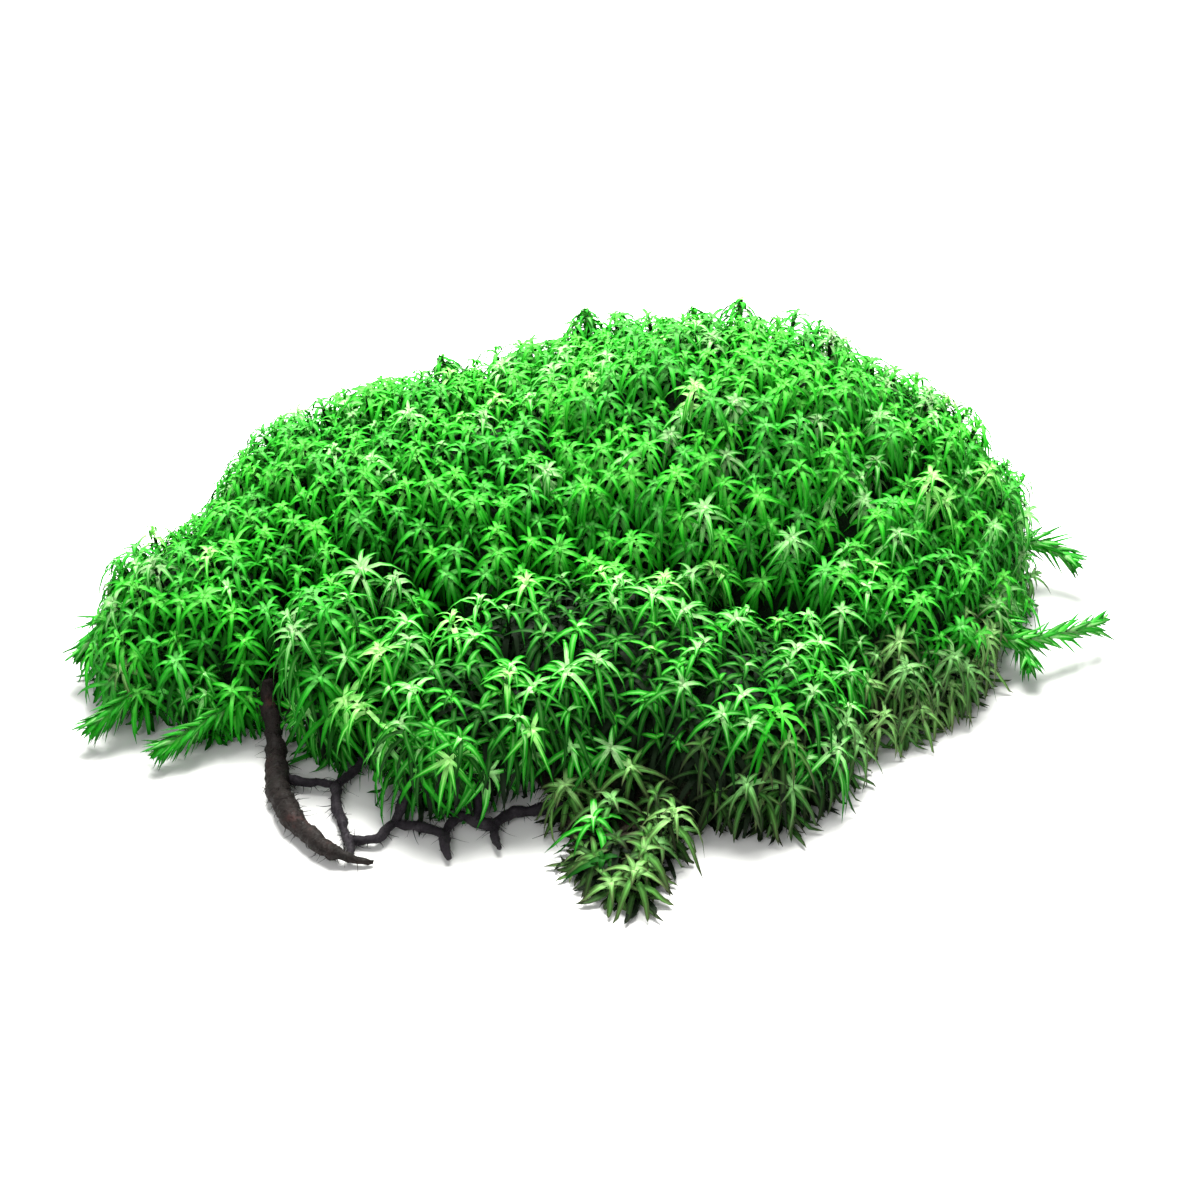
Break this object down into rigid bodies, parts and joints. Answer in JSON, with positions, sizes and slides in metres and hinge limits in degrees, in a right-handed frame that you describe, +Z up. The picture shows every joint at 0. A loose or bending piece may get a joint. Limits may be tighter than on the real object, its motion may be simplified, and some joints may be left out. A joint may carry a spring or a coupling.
{
  "type": "moss clump",
  "caption": "Low cushion of star-shaped drooping moss shoots on a flat-cut felt, with an open net of bare runners at the front left.",
  "frame": {"origin": "middle of the whole clump's box in plan, on the flat cut underneath", "axes": "+X along the clump's long side, +Y towards its high back, the open net of runners towards -Y, +Z up"},
  "size_m": [0.1666, 0.1188, 0.0491],
  "materials": {
    "leaf_green": "moist living moss leaf, saturated green with a pale whitish-green heart and midrib, soft sheen",
    "leaf_olive": "older moss leaf, duller olive green with brown edges, soft sheen",
    "felt_brown": "matt dark brown felt of dead stems, rootlets and peat",
    "old_bark": "old bare stem, red-brown and dark grey, rough with clinging rootlets",
    "runner_grey": "thin bare runner, near-black violet grey, faintly glossy where moist"
  },
  "bodies": {
    "root": {"old_stem_rim": "old_bark", "rhizoid_mat": "felt_brown", "rising_stem_left": "runner_grey", "rising_stem_middle": "runner_grey", "runner_cross": "runner_grey", "runner_far_right": "runner_grey", "runner_inner": "runner_grey", "runner_left": "runner_grey", "runner_middle": "runner_grey", "runner_right": "runner_grey", "runner_stub_left": "runner_grey", "runner_stub_right": "runner_grey", "stray_shoot_crown": "leaf_green", "stray_shoot_crown_left": "leaf_green", "stray_shoot_front_left": "leaf_green", "stray_shoot_left": "leaf_green", "stray_shoot_left_low": "leaf_green", "stray_shoot_ridge": "leaf_green", "stray_shoot_ridge_left": "leaf_green", "stray_shoot_right": "leaf_green", "stray_shoot_right_low": "leaf_green", "stray_shoot_upper_right": "leaf_green", "tuft_back": "leaf_green", "tuft_back_left": "leaf_green", "tuft_back_right": "leaf_green", "tuft_crown": "leaf_green", "tuft_foot": "leaf_olive", "tuft_front": "leaf_green", "tuft_front_left": "leaf_green", "tuft_front_low": "leaf_green", "tuft_front_right": "leaf_green", "tuft_left": "leaf_green", "tuft_right": "leaf_green"}
  },
  "joints": []
}
